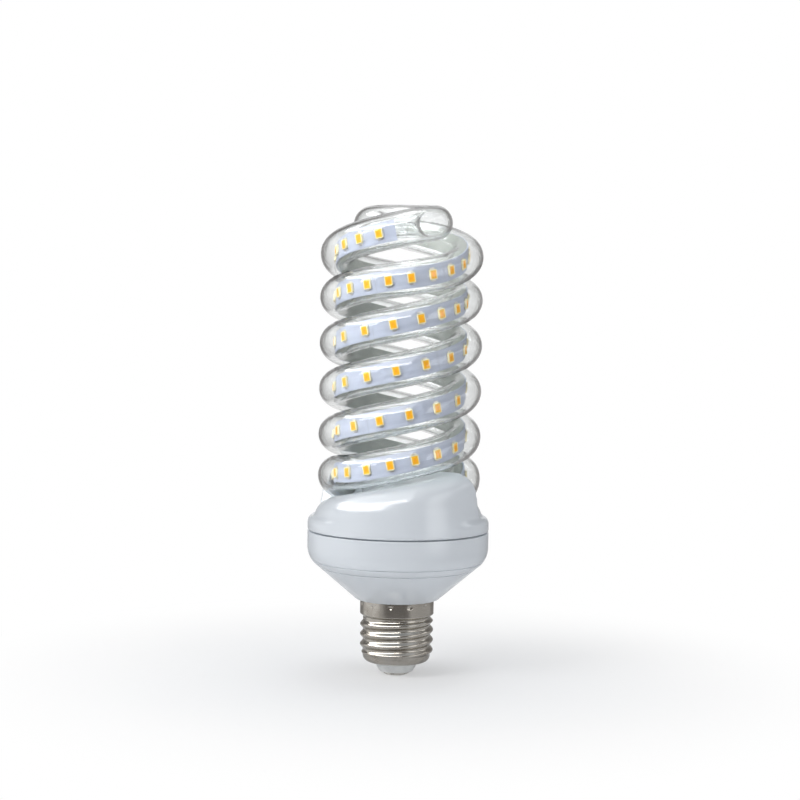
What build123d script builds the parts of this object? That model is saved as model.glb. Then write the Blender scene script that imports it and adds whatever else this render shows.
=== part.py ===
from build123d import *
import math
import os

# Spiral lamp with a 27 mm screw cap, standing on its centre contact.
# Millimetres, +Z up along the lamp's axis, origin at the tip of the contact, front towards -Y.
os.makedirs("parts", exist_ok=True)

# Screw cap
thread_diameter = 26.4
thread_pitch = 3.629
thread_depth = 1.05
thread_sink = 0.15
thread_fill = 0.47
thread_crest = 0.3
thread_fade = 1.6
thread_run_in = 5.25
cap_wall = 0.45
cap_height = 27.4
collar_diameter = 26.6
collar_height = 5.1
rim_height = 4.7
rim_opening = 16.4
rim_corner = 2.4
crimp_count = 12
crimp_diameter = 1.9
crimp_depth = 0.28
crimp_drop = 1.5
crimp_turn_angle = -9.5

# Contact and insulator
contact_diameter = 10.0
contact_flat = 6.4
contact_thickness = 1.3
contact_edge = 0.5
insulator_foot = 12.2
insulator_flange = 2.0
insulator_clearance = 0.15

# Lower housing
spigot_bottom = 10.0
spigot_clearance = 0.15
housing_wall = 1.8
neck_diameter = 29.6
crease_inset = 3.7
crease_drop = 12.8
rim_diameter = 65.2
side_drop = 5.8
seam_height = 52.3
seam_chamfer = 0.3
rib_count = 6
rib_width = 1.6
rib_depth = 3.2
rib_height = 7.0
wall_overrun = 18.0

# Glass spiral: two legs of a right-handed double helix, joined by an S over the axis
helix_lead = 32.6
tube_diameter = 12.5
glass_wall = 0.9
spiral_turns = 3
spiral_front_rise = 9.8
leg_lift = 1.6
leg_lift_angle = 100
leg_lift_spread_angle = 26
leg_dip = 2.0
leg_dip_angle = 940
leg_dip_spread_angle = 55
leg_end_angle = -15
bend_angle = 45
bend_share = 0.49
bridge_bends = 5

# Upper cover with two ramps that sheathe the legs
cover_wall = 1.8
shoulder_rise = 5.6
shoulder_round = 2.85
ramp_front_rise = 18.0
ramp_ledge = 2.35
ramp_lead = 27.0
ramp_end_angle = 65
ramp_slant_angle = 22
ramp_wall = 1.3
ramp_depth = 26.0
ramp_hollow_angle = 5
sheath_wall = 1.0
sheath_clearance = 0.2
hub_diameter = 26.4
hub_rise = 19.2
hub_round = 3.5
hub_backing = 0.5
lip_wall = 1.25
lip_clearance = 0.15
sheath_overrun_angle = 20
ramp_overlap_angle = 15

# Light strips
strip_width = 7.2
strip_thickness = 0.5
strip_offset = 0.2
strip_top_angle = 6
strip_end_gap = 0.35
chip_length = 2.8
chip_width = 3.5
chip_height = 0.75
chip_frame = 0.35
phosphor_depth = 0.3
chip_seat = 0.08
# Runs of chips, counted down from the top of a leg
chip_first_angles = [20, 366.5, 662, 845]
chip_step_angles = [19, 25.3, 25, 20.8]
chip_counts = [18, 11, 7, 9]

# Driver board and the seals and leads that meet it
board_thickness = 1.6
board_drop = 5.4
board_gap = 0.8
board_play = 0.2
seal_length = 5.0
seal_clearance = 0.05
strip_lead_diameter = 1.0
strip_lead_spread = 1.5
strip_lead_angle = 13
strip_lead_splay_angle = 1.5
strip_lead_bend = 3.0
supply_lead_diameter = 1.2
supply_lead_bend = 2.5
supply_lead_reach = 10.0
supply_lead_angle = 29.0
supply_lead_drop = 8.0
contact_gap = 0.05

# Parts on the board, with their places
input_can_diameter = 10.0
input_can_height = 16.0
input_can_place = (0, 0)
output_can_diameter = 8.0
output_can_height = 12.0
output_can_place = (14, 4)
can_groove = 0.5
can_groove_place = 2.0
can_groove_width = 0.8
can_edge = 0.8
film_length = 13.0
film_width = 5.0
film_height = 11.0
film_place = (0, 14)
choke_diameter = 9.0
choke_height = 10.0
choke_flange = 1.4
choke_waist = 0.8
choke_place = (-14, 3)
rectifier_length = 5.0
rectifier_width = 4.0
rectifier_height = 2.4
rectifier_place = (-4, -13)
fuse_diameter = 3.6
fuse_length = 8.0
fuse_place = (11, -12)
driver_chip_length = 5.0
driver_chip_width = 4.0
driver_chip_height = 1.5
driver_chip_place = (9, 8)
diode_length = 4.4
diode_width = 2.6
diode_height = 2.2
diode_place = (-9, 8)
block_edge = 0.4

# Values that follow from the sizes above
root_radius = thread_diameter / 2 - thread_depth
collar_radius = collar_diameter / 2
collar_base = cap_height - collar_height
collar_step = collar_radius - root_radius
rim_top = rim_height + cap_wall
spigot_radius = root_radius - cap_wall - spigot_clearance
neck_inner_radius = collar_radius - cap_wall - spigot_clearance
rim_radius = rim_diameter / 2
crease_radius = rim_radius - crease_inset
crease_height = seam_height - crease_drop
side_height = seam_height - side_drop
shoulder_height = seam_height + shoulder_rise
hub_height = seam_height + hub_rise
board_height = seam_height - board_drop
board_top = board_height + board_thickness
tube_radius = tube_diameter / 2
bore_radius = tube_radius - glass_wall
sheath_radius = tube_radius + sheath_clearance
ramp_round = sheath_radius + sheath_wall
helix_radius = rim_radius - ramp_ledge - ramp_round
spiral_front_height = seam_height + spiral_front_rise
top_angle = 360 * spiral_turns
board_radius = rim_radius - housing_wall - board_gap


def leg_height(angle):
    # A leg rises evenly, apart from a level stretch just above the cover and a dip in its last turn
    lift = leg_lift * math.exp(-(((angle - leg_lift_angle) / leg_lift_spread_angle) ** 2))
    dip = leg_dip * math.exp(-(((angle - leg_dip_angle) / leg_dip_spread_angle) ** 2))
    return spiral_front_height + helix_lead * angle / 360 + lift - dip


def leg_point(angle, radius=helix_radius):
    # The angle is counted from the front, towards the right
    turn = math.radians(angle)
    return Vector(radius * math.sin(turn), -radius * math.cos(turn), leg_height(angle))


def leg_corners(first, last, radius=helix_radius):
    # Corners of the polyline whose rounded corners follow a leg
    count = max(1, round((last - first) / bend_angle))
    step = (last - first) / count
    reach = radius / math.cos(math.radians(step / 2))
    middle = [leg_point(first + step * (index + 0.5), reach) for index in range(count)]
    return [leg_point(first, radius)] + middle + [leg_point(last, radius)]


def radial_plane(angle):
    # An upright plane through the axis: local X points outwards, local Y up
    turn = math.radians(angle)
    outwards = Vector(math.sin(turn), -math.cos(turn), 0)
    return Plane((0, 0, 0), x_dir=outwards, z_dir=outwards.cross(Vector(0, 0, 1)))


def bridge_corners():
    # Half of the S: a half circle from the top of a leg to the axis, levelling out as it goes
    bend_radius = helix_radius / 2
    rise = helix_lead / (2 * math.pi * helix_radius) * math.pi * bend_radius
    reach = bend_radius / math.cos(math.pi / bridge_bends / 2)
    corners = []
    for index in range(bridge_bends):
        share = (index + 0.5) / bridge_bends
        height = leg_height(top_angle) + rise * (share - share**2 + share**3 / 3)
        turn = math.pi * share
        corners.append(Vector(reach * math.sin(turn), -bend_radius - reach * math.cos(turn), height))
    return corners


def bend_radii(corners):
    # The largest radius that each corner's two runs leave room for: an end run is one corner's own
    room = [(after - before).length * bend_share for before, after in zip(corners, corners[1:])]
    room[0] *= 2
    room[-1] *= 2
    radii = []
    for index in range(1, len(corners) - 1):
        turn = (corners[index] - corners[index - 1]).get_angle(corners[index + 1] - corners[index])
        radii.append(min(room[index - 1], room[index]) / math.tan(math.radians(turn) / 2))
    return radii


def bent_path(corners):
    with BuildLine() as line:
        FilletPolyline(*corners, radius=bend_radii(corners))
    return line.wires()[0]


def path_start(path):
    # The plane across the start of a path along a leg: local X points outwards
    start = path @ 0
    return Plane(start, x_dir=(start.X, start.Y, 0), z_dir=path % 0)


def lead_along(corners, bend, diameter):
    # A round lead with rounded corners
    with BuildLine() as line:
        FilletPolyline(*corners, radius=bend)
    path = line.wires()[0]
    with BuildSketch(Plane(path @ 0, z_dir=path % 0)) as section:
        Circle(diameter / 2)
    return sweep(section.sketch, path=path, mode=Mode.PRIVATE)


def half_turn(point):
    return Vector(-point.X, -point.Y, point.Z)


def save(builder, name):
    builder.part.label = name
    export_step(builder.part, f"parts/{name}.step")


def save_pair(builder, name):
    # The same piece in both legs, half a turn apart
    for side, turn in (("front", 0), ("rear", 180)):
        piece = builder.part.rotate(Axis.Z, turn)
        piece.label = f"{name}_{side}"
        export_step(piece, f"parts/{piece.label}.step")


# Centre contact: a disc with a flat tip and a rounded edge
with BuildPart() as centre_contact:
    with BuildSketch(Plane.XZ):
        with BuildLine():
            tip = Line((0, 0), (contact_flat / 2, 0))
            side = Line(
                (contact_diameter / 2, contact_thickness - contact_edge),
                (contact_diameter / 2, contact_thickness),
            )
            TangentArc(tip @ 1, side @ 0, tangent=(1, 0))
            Polyline(side @ 1, (0, contact_thickness), tip @ 0)
        make_face()
    revolve(axis=Axis.Z)
save(centre_contact, "centre_contact")

# Insulator: a cone between contact and rim, with a flange that rests on the rolled rim inside
insulator_neck = rim_opening / 2 - insulator_clearance
insulator_top = rim_top + insulator_flange
insulator_flange_radius = root_radius - rim_corner - insulator_clearance
lead_hole = supply_lead_diameter / 2 + insulator_clearance
with BuildPart() as cap_insulator:
    with BuildSketch(Plane.XZ):
        with BuildLine():
            Polyline(
                (lead_hole, contact_thickness),
                (insulator_foot / 2, contact_thickness),
                (insulator_neck, rim_height),
                (insulator_neck, rim_top),
                (insulator_flange_radius, rim_top),
                (insulator_flange_radius, insulator_top),
                (lead_hole, insulator_top),
                close=True,
            )
        make_face()
    revolve(axis=Axis.Z)
save(cap_insulator, "cap_insulator")

# Thread ridge of the screw cap: a blunt ridge along a helix, faded out at both ends
thread_bottom = rim_height + rim_corner
thread_top = collar_base - collar_step
thread_run = thread_top - thread_bottom
crest_radius = thread_diameter / 2
ridge_half = thread_pitch * thread_fill
crest_half = ridge_half * thread_crest
with BuildPart() as thread_ridge:
    with BuildLine() as thread_path:
        path_foot = (0, 0, thread_bottom - thread_run_in)
        Helix(thread_pitch, thread_run_in + thread_run + thread_pitch, root_radius, path_foot)
    with BuildSketch(Plane(thread_path.line @ 0, x_dir=(1, 0, 0), z_dir=(0, -1, 0))):
        with BuildLine():
            Polyline(
                (-thread_sink, -ridge_half),
                (thread_depth, -crest_half),
                (thread_depth, crest_half),
                (-thread_sink, ridge_half),
                close=True,
            )
        make_face()
    sweep(path=thread_path.line, is_frenet=True)
    with BuildSketch(Plane.XZ):
        with BuildLine():
            Polyline(
                (root_radius - 2 * thread_sink, thread_bottom),
                (crest_radius + thread_sink, thread_bottom + thread_fade),
                (crest_radius + thread_sink, thread_top - thread_fade),
                (root_radius - 2 * thread_sink, thread_top),
                close=True,
            )
        make_face()
    revolve(axis=Axis.Z, mode=Mode.INTERSECT)

# Screw cap: one rolled sheet, from the rim's opening up to the crimped collar
with BuildPart() as screw_shell:
    with BuildSketch(Plane.XZ):
        with BuildLine():
            lip = Line((rim_opening / 2, rim_height), (root_radius - rim_corner, rim_height))
            roll = TangentArc(lip @ 1, (root_radius, rim_height + rim_corner), tangent=(1, 0))
            Polyline(
                roll @ 1,
                (root_radius, collar_base - collar_step),
                (collar_radius, collar_base),
                (collar_radius, cap_height),
            )
            offset(amount=cap_wall, side=Side.LEFT, kind=Kind.INTERSECTION)
        make_face()
    revolve(axis=Axis.Z)
    add(thread_ridge.part)
    crimp_reach = collar_radius + crimp_diameter / 2 - crimp_depth
    with Locations((0, 0, cap_height - crimp_drop)):
        with PolarLocations(crimp_reach, crimp_count, crimp_turn_angle):
            Sphere(crimp_diameter / 2, mode=Mode.SUBTRACT)
save(screw_shell, "screw_shell")

# Lower housing: spigot in the cap, cone, rounded side, and ribs that carry the board
spigot_shoulder = collar_base - collar_step + (cap_wall + spigot_clearance) * math.tan(math.pi / 8)
with BuildSketch(Plane.XZ) as housing_outline:
    with BuildLine():
        lower = Polyline(
            (-wall_overrun, spigot_bottom - wall_overrun),
            (spigot_radius, spigot_bottom - wall_overrun),
            (spigot_radius, spigot_shoulder),
            (neck_inner_radius, spigot_shoulder + neck_inner_radius - spigot_radius),
            (neck_inner_radius, cap_height),
            (neck_diameter / 2, cap_height),
            (crease_radius, crease_height),
        )
        side = TangentArc((rim_radius, side_height), lower @ 1, tangent=(0, -1))
        Polyline(
            side @ 0,
            (rim_radius, seam_height + wall_overrun),
            (-wall_overrun, seam_height + wall_overrun),
            lower @ 0,
        )
    make_face()

with BuildPart() as housing_ribs:
    for index in range(rib_count):
        with BuildSketch(radial_plane(360 / rib_count * index)):
            with Locations((board_radius - rib_depth, board_height)):
                Rectangle(rim_radius, rib_height, align=(Align.MIN, Align.MAX))
        extrude(amount=rib_width / 2, both=True)
    with BuildSketch(Plane.XZ):
        add(housing_outline.sketch)
        offset(amount=-housing_wall / 2, kind=Kind.INTERSECTION, mode=Mode.REPLACE)
        split(bisect_by=Plane.YZ, keep=Keep.TOP)
    revolve(axis=Axis.Z, mode=Mode.INTERSECT)

with BuildPart() as lower_housing:
    with BuildSketch(Plane.XZ):
        add(housing_outline.sketch)
        offset(amount=-housing_wall, kind=Kind.INTERSECTION, mode=Mode.SUBTRACT)
        with Locations((0, spigot_bottom)):
            Rectangle(
                rim_radius,
                seam_height - spigot_bottom,
                align=(Align.MIN, Align.MIN),
                mode=Mode.INTERSECT,
            )
        chamfer(vertices().group_by(Axis.Y)[-1].sort_by(Axis.X)[-1], seam_chamfer)
    revolve(axis=Axis.Z)
    add(housing_ribs.part)
save(lower_housing, "lower_housing")

# Upper cover: lip, skirt, shoulder and hub, with two ramps that end where the legs come out
slant = math.radians(ramp_slant_angle)
ramp_setback = ramp_round * math.sin(slant) / helix_radius
ramp_drop = ramp_round * math.cos(slant) + ramp_lead * ramp_setback / (2 * math.pi)
ramp_path_front = seam_height + ramp_front_rise - ramp_drop
ramp_start_angle = ramp_end_angle - 180
wall_angle = math.degrees(ramp_wall / math.cos(slant) / helix_radius)
hub_radius = hub_diameter / 2
lip_radius = rim_radius - housing_wall - lip_clearance
lip_bottom = board_top + board_play


def ramp_path(first, last):
    # The line that the ramp's section is swept along, a helix flatter than the legs
    rise = ramp_lead * (last - first) / 360
    start = ramp_path_front + ramp_lead * first / 360
    return Pos(0, 0, start) * Rot(0, 0, first - 90) * Helix(ramp_lead, rise, helix_radius)


def ramp_plane(angle, height):
    # The section's plane leans back by the slant: local X points outwards, local Y up
    turn = math.radians(angle)
    outwards = Vector(math.sin(turn), -math.cos(turn), 0)
    along = Vector(math.cos(turn), math.sin(turn), 0)
    facing = along * -math.cos(slant) + Vector(0, 0, -math.sin(slant))
    return Plane(outwards * helix_radius + Vector(0, 0, height), x_dir=outwards, z_dir=facing)


def ramp(first, last, rounding, inside):
    path = ramp_path(first, last)
    with BuildSketch(ramp_plane(first, (path @ 0).Z)) as section:
        with BuildLine():
            wall = Line((rounding, -ramp_depth), (rounding, 0))
            roof = TangentArc(wall @ 1, (0, rounding), tangent=(0, 1))
            Polyline(roof @ 1, (-inside, rounding), (-inside, -ramp_depth), wall @ 0)
        make_face()
    return sweep(section.sketch, path=path, is_frenet=True, mode=Mode.PRIVATE)


with BuildPart() as upper_cover:
    with BuildSketch(Plane.XZ):
        with BuildLine():
            skirt = Polyline(
                (0, lip_bottom),
                (lip_radius, lip_bottom),
                (lip_radius, seam_height),
                (rim_radius - seam_chamfer, seam_height),
                (rim_radius, seam_height + seam_chamfer),
                (rim_radius, shoulder_height - shoulder_round),
            )
            shoulder_end = (rim_radius - shoulder_round, shoulder_height)
            shoulder = TangentArc(skirt @ 1, shoulder_end, tangent=(0, 1))
            Polyline(shoulder @ 1, (0, shoulder_height), skirt @ 0)
        make_face()
    revolve(axis=Axis.Z)
    with BuildSketch(Plane.XY.offset(seam_height)):
        Circle(hub_radius)
    extrude(amount=hub_height - seam_height)
    fillet(edges().group_by(Axis.Z)[-1], hub_round)
    ramp_body = ramp(
        ramp_start_angle - ramp_overlap_angle,
        ramp_end_angle,
        ramp_round,
        helix_radius - hub_radius + cover_wall / 2,
    )
    seam = Plane.XY.offset(seam_height)
    ramp_body = split(ramp_body, bisect_by=seam, keep=Keep.TOP, mode=Mode.PRIVATE)
    for turn in (0, 180):
        add(ramp_body, rotation=(0, 0, turn))
    # Hollows in the skirt and its lip, the hub and the ramps, and the bores for the legs
    with BuildSketch(Plane.XY.offset(lip_bottom)):
        Circle(lip_radius - lip_wall)
    extrude(amount=shoulder_height - cover_wall - lip_bottom, mode=Mode.SUBTRACT)
    with BuildSketch(Plane.XY.offset(hub_height - cover_wall)):
        Circle(hub_radius - cover_wall)
    extrude(amount=-hub_height + seam_height, mode=Mode.SUBTRACT)
    ramp_hollow = ramp(
        ramp_start_angle + wall_angle,
        leg_end_angle - ramp_hollow_angle,
        ramp_round - ramp_wall,
        helix_radius - hub_radius - hub_backing,
    )
    sheath_first = leg_end_angle - sheath_overrun_angle
    sheath_path = bent_path(leg_corners(sheath_first, ramp_end_angle + sheath_overrun_angle))
    with BuildSketch(path_start(sheath_path)) as sheath_section:
        Circle(sheath_radius)
    sheath = sweep(sheath_section.sketch, path=sheath_path, mode=Mode.PRIVATE)
    for turn in (0, 180):
        add(ramp_hollow, rotation=(0, 0, turn), mode=Mode.SUBTRACT)
        add(sheath, rotation=(0, 0, turn), mode=Mode.SUBTRACT)
save(upper_cover, "upper_cover")

# Glass spiral: one tube, up one leg, over the S and down the other
half_corners = leg_corners(leg_end_angle, top_angle)[:-1] + bridge_corners()
tube_path = bent_path(half_corners + [half_turn(corner) for corner in reversed(half_corners)])
with BuildPart() as spiral_tube:
    with BuildSketch(path_start(tube_path)):
        Circle(tube_radius)
        Circle(bore_radius, mode=Mode.SUBTRACT)
    sweep(path=tube_path, clean=False)
save(spiral_tube, "spiral_tube")

# Driver board, resting on the housing's ribs
with BuildPart() as driver_board:
    with BuildSketch(Plane.XY.offset(board_height)):
        Circle(board_radius)
    extrude(amount=board_thickness)
save(driver_board, "driver_board")

# What each leg holds: a light strip with its chips, the silicone that seals the end, and two leads
seal_angle = math.degrees(seal_length / helix_radius)
strip_first_angle = leg_end_angle + seal_angle + math.degrees(strip_end_gap / helix_radius)
strip_radius = helix_radius + strip_offset
chip_face = strip_radius + strip_thickness / 2 + chip_seat
pocket = (chip_length - 2 * chip_frame, chip_width - 2 * chip_frame)


def chip_planes(height):
    # Planes on the chips, at a height above the strip: local X along the leg, local Z outwards
    planes = []
    for first, step, count in zip(chip_first_angles, chip_step_angles, chip_counts):
        for index in range(count):
            angle = top_angle - first - step * index
            place = leg_point(angle, chip_face + height)
            ahead = leg_point(angle + 1) - leg_point(angle - 1)
            planes.append(Plane(place, x_dir=ahead, z_dir=(place.X, place.Y, 0)))
    return planes


strip_angles = (strip_first_angle, top_angle - strip_top_angle)
strip_path = bent_path(leg_corners(*strip_angles, strip_radius))
strip_guide = bent_path(leg_corners(*strip_angles, strip_radius + strip_width))
with BuildPart() as led_strip:
    with BuildSketch(path_start(strip_path)):
        Rectangle(strip_thickness, strip_width)
    sweep(path=strip_path, binormal=strip_guide, clean=False)
save_pair(led_strip, "led_strip")

with BuildPart() as led_frames:
    with BuildSketch(*chip_planes(0)):
        Rectangle(chip_length, chip_width)
    extrude(amount=chip_height, clean=False)
    with BuildSketch(*chip_planes(chip_height)):
        Rectangle(*pocket)
    extrude(amount=-phosphor_depth, clean=False, mode=Mode.SUBTRACT)
save_pair(led_frames, "led_frames")

with BuildPart() as led_phosphor:
    with BuildSketch(*chip_planes(chip_height - phosphor_depth)):
        Rectangle(*pocket)
    extrude(amount=phosphor_depth, clean=False)
save_pair(led_phosphor, "led_phosphor")

with BuildPart() as strip_leads:
    for side in (-1, 1):
        rise = Vector(0, 0, side * strip_lead_spread)
        landing = leg_point(leg_end_angle - strip_lead_angle - side * strip_lead_splay_angle)
        corners = [
            leg_point(leg_end_angle + seal_angle) + rise,
            landing + rise,
            Vector(landing.X, landing.Y, board_top),
        ]
        add(lead_along(corners, strip_lead_bend, strip_lead_diameter))
save_pair(strip_leads, "strip_leads")

seal_path = bent_path(leg_corners(leg_end_angle, leg_end_angle + seal_angle))
with BuildPart() as tube_seal:
    with BuildSketch(path_start(seal_path)):
        Circle(bore_radius - seal_clearance)
    sweep(path=seal_path)
    add(strip_leads.part, mode=Mode.SUBTRACT)
save_pair(tube_seal, "tube_seal")

# Parts under the board, hanging down into the cone
def hanging(place):
    # A plane on the underside of the board: local Z points down to the cap
    return Plane((*place, board_height), x_dir=(1, 0, 0), z_dir=(0, 0, -1))


def standing(place):
    return Plane((*place, board_top))


for name, diameter, height, place in (
    ("input_capacitor", input_can_diameter, input_can_height, input_can_place),
    ("output_capacitor", output_can_diameter, output_can_height, output_can_place),
):
    with BuildPart() as can:
        with BuildSketch(hanging(place)):
            Circle(diameter / 2)
        extrude(amount=height)
        fillet(edges().sort_by(Axis.Z)[0], can_edge)
        with BuildSketch(hanging(place).offset(can_groove_place)):
            Circle(diameter / 2)
            Circle(diameter / 2 - can_groove, mode=Mode.SUBTRACT)
        extrude(amount=can_groove_width, mode=Mode.SUBTRACT)
    save(can, name)

with BuildPart() as choke:
    with BuildSketch(hanging(choke_place)):
        Circle(choke_diameter / 2)
    extrude(amount=choke_height)
    with BuildSketch(hanging(choke_place).offset(choke_flange)):
        Circle(choke_diameter / 2)
        Circle(choke_diameter / 2 - choke_waist, mode=Mode.SUBTRACT)
    extrude(amount=choke_height - 2 * choke_flange, mode=Mode.SUBTRACT)
save(choke, "choke")

for name, plane, length, width, height in (
    ("film_capacitor", hanging(film_place), film_length, film_width, film_height),
    ("bridge_rectifier", hanging(rectifier_place), rectifier_length, rectifier_width, rectifier_height),
    ("driver_chip", standing(driver_chip_place), driver_chip_length, driver_chip_width, driver_chip_height),
    ("freewheel_diode", standing(diode_place), diode_length, diode_width, diode_height),
):
    with BuildPart() as block:
        with BuildSketch(plane):
            RectangleRounded(length, width, block_edge)
        extrude(amount=height)
        chamfer(faces().sort_by(Axis((0, 0, 0), plane.z_dir))[-1].edges(), block_edge)
    save(block, name)

with BuildPart() as fuse_resistor:
    with BuildSketch(Plane((*fuse_place, board_height - fuse_diameter / 2), z_dir=(1, 0, 0))):
        Circle(fuse_diameter / 2)
    extrude(amount=fuse_length / 2, both=True)
    fillet(edges().filter_by(GeomType.CIRCLE), block_edge)
save(fuse_resistor, "fuse_resistor")

# Supply leads: one down the axis to the contact, one round the end of the spigot to the screw cap
lead_side = supply_lead_reach * math.cos(math.radians(supply_lead_angle))
lead_front = -supply_lead_reach * math.sin(math.radians(supply_lead_angle))
spigot_inner_radius = spigot_radius - housing_wall
neutral_place = spigot_inner_radius - supply_lead_diameter
neutral_height = spigot_bottom - supply_lead_diameter
lead_corners = {
    "live_lead": [
        (lead_side, lead_front, board_height),
        (lead_side, lead_front, cap_height),
        (0, 0, spigot_bottom + supply_lead_drop),
        (0, 0, contact_thickness),
    ],
    "neutral_lead": [
        (-lead_side, lead_front, board_height),
        (-lead_side, lead_front, cap_height + supply_lead_drop),
        (-neutral_place, 0, cap_height - supply_lead_drop),
        (-neutral_place, 0, neutral_height),
        (-root_radius + cap_wall + contact_gap, 0, neutral_height),
    ],
}
for name, corners in lead_corners.items():
    with BuildPart() as lead:
        add(lead_along(corners, supply_lead_bend, supply_lead_diameter))
    save(lead, name)
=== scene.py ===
import math

import bmesh
import bpy
import numpy as np
from mathutils import Matrix, Vector


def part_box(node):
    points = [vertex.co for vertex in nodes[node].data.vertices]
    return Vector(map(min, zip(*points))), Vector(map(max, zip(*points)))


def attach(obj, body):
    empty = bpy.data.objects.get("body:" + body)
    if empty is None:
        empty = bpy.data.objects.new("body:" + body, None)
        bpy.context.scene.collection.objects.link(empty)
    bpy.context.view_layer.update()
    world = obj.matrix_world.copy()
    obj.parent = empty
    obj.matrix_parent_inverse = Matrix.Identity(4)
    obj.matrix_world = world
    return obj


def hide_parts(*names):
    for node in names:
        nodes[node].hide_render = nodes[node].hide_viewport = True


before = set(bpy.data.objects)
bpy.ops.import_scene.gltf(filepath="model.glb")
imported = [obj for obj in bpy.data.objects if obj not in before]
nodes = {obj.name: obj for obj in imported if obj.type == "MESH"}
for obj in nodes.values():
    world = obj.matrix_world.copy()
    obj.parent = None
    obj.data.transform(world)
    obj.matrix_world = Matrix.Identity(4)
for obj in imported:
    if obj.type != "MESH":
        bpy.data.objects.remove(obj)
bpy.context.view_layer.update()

mm = 0.001
print("frame loaded,", len(nodes), "nodes")


class Wire:  # a socket of a node tree, so that shader maths reads as Python
    def __init__(self, tree, socket=None):
        self.tree = tree
        self.socket = socket

    def node(self, kind, settings=None, sockets=None, out=0):
        made = self.tree.nodes.new(kind)
        for name, value in (settings or {}).items():
            if name == "stops":
                setStops(made.color_ramp, value)
            else:
                setattr(made, name, value)
        for key, value in (sockets or {}).items():
            if isinstance(value, Wire):
                self.tree.links.new(value.socket, made.inputs[key])
            else:
                made.inputs[key].default_value = value
        return Wire(self.tree, made.outputs[out]) if made.outputs else None

    def other(self, out):  # another output of the same node
        return Wire(self.tree, self.socket.node.outputs[out])

    def maths(self, operation, *values):
        return self.node("ShaderNodeMath", {"operation": operation}, dict(enumerate(values)))

    def __add__(self, other):
        return self.maths("ADD", self, other)

    def __radd__(self, other):
        return self.maths("ADD", other, self)

    def __sub__(self, other):
        return self.maths("SUBTRACT", self, other)

    def __rsub__(self, other):
        return self.maths("SUBTRACT", other, self)

    def __mul__(self, other):
        return self.maths("MULTIPLY", self, other)

    def __rmul__(self, other):
        return self.maths("MULTIPLY", other, self)

    def __truediv__(self, other):
        return self.maths("DIVIDE", self, other)

    def __abs__(self):
        return self.maths("ABSOLUTE", self)

    def biggest(self, other):
        return self.maths("MAXIMUM", self, other)

    def smooth(self, low, high):  # 0 below low, 1 above high
        sockets = {"Value": self, "From Min": low, "From Max": high}
        return self.node("ShaderNodeMapRange", {"interpolation_type": "SMOOTHSTEP"}, sockets)

    def band(self, middle, half, soft):  # 1 within half of middle, with soft edges
        return 1 - abs(self - middle).smooth(half, half + soft)

    def colours(self, low, high):  # a colour between two, by this factor
        settings = {"data_type": "RGBA"}
        return self.node("ShaderNodeMix", settings, {0: self, 6: low, 7: high}, out=2)

    def stretch(self, scales):
        return self.node("ShaderNodeVectorMath", {"operation": "MULTIPLY"}, {0: self, 1: scales})

    def noise(self, scale, detail=2.0, rough=0.5):
        sockets = {"Vector": self, "Scale": scale, "Detail": detail, "Roughness": rough}
        return self.node("ShaderNodeTexNoise", {}, sockets)

    def bump(self, strength, distance):
        sockets = {"Height": self, "Strength": strength, "Distance": distance}
        return self.node("ShaderNodeBump", {}, sockets)


def setStops(ramp, stops):
    while len(ramp.elements) < len(stops):
        ramp.elements.new(1.0)
    for element, (place, level) in zip(ramp.elements, stops):
        element.position = place
        element.color = (level, level, level, 1.0)


def makeFinish(name, paint):
    material = bpy.data.materials.new(name)
    material.use_nodes = True
    material.node_tree.nodes.clear()
    wire = Wire(material.node_tree)
    wire.node("ShaderNodeOutputMaterial", {}, {"Surface": paint(wire)})
    return material


socketNames = {
    "colour": "Base Color",
    "roughness": "Roughness",
    "metallic": "Metallic",
    "normal": "Normal",
    "transmission": "Transmission Weight",
    "ior": "IOR",
    "specular": "Specular IOR Level",
}


def principled(wire, **sockets):
    named = {socketNames[key]: value for key, value in sockets.items()}
    return wire.node("ShaderNodeBsdfPrincipled", {}, named)


def objectPlace(wire):
    return wire.node("ShaderNodeTexCoord", out="Object")


def splitPlace(wire, kind):  # the X of a coordinate, with Y and Z as the other outputs
    return wire.node("ShaderNodeSeparateXYZ", {}, {0: wire.node("ShaderNodeTexCoord", out=kind)})


def mixed(wire, share, first, second):
    return wire.node("ShaderNodeMixShader", {}, {0: share, 1: first, 2: second})


def wear(node, finish):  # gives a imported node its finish
    mesh = nodes[node].data
    mesh.materials.clear()
    mesh.materials.append(finish)


def addPiece(name, vertices, faces, finish, slot, replaced=(), sharp=35):
    mesh = bpy.data.meshes.new(name)
    mesh.from_pydata(vertices, [], faces)
    shape = bmesh.new()
    shape.from_mesh(mesh)
    bmesh.ops.recalc_face_normals(shape, faces=shape.faces)
    shape.to_mesh(mesh)
    shape.free()
    mesh.shade_smooth()
    mesh.set_sharp_from_angle(angle=math.radians(sharp))
    mesh.materials.append(finish)
    piece = bpy.data.objects.new(name, mesh)
    bpy.context.scene.collection.objects.link(piece)
    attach(piece, "root")
    for node in replaced:
        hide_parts(node)
    return piece


def wrapFaces(rows, columns):  # quads of a grid that closes both ways
    faces = []
    for row in range(rows):
        for column in range(columns):
            nextRow = (row + 1) % rows
            nextColumn = (column + 1) % columns
            corners = [(row, column), (row, nextColumn), (nextRow, nextColumn), (nextRow, column)]
            faces.append([r * columns + c for r, c in corners])
    return faces


def tubeFaces(rows, columns):  # quads between closed loops, with a cap at both ends
    last = (rows - 1) * columns
    caps = [list(range(columns)), list(range(last, last + columns))]
    return wrapFaces(rows, columns)[:last] + caps


def addSolid(points, faces, solid, solidFaces):  # puts one more solid into the lists
    faces += [[len(points) + n for n in face] for face in solidFaces]
    points += list(solid)


def circleTurns(count):
    return np.linspace(0, 2 * np.pi, count, endpoint=False)


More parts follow.
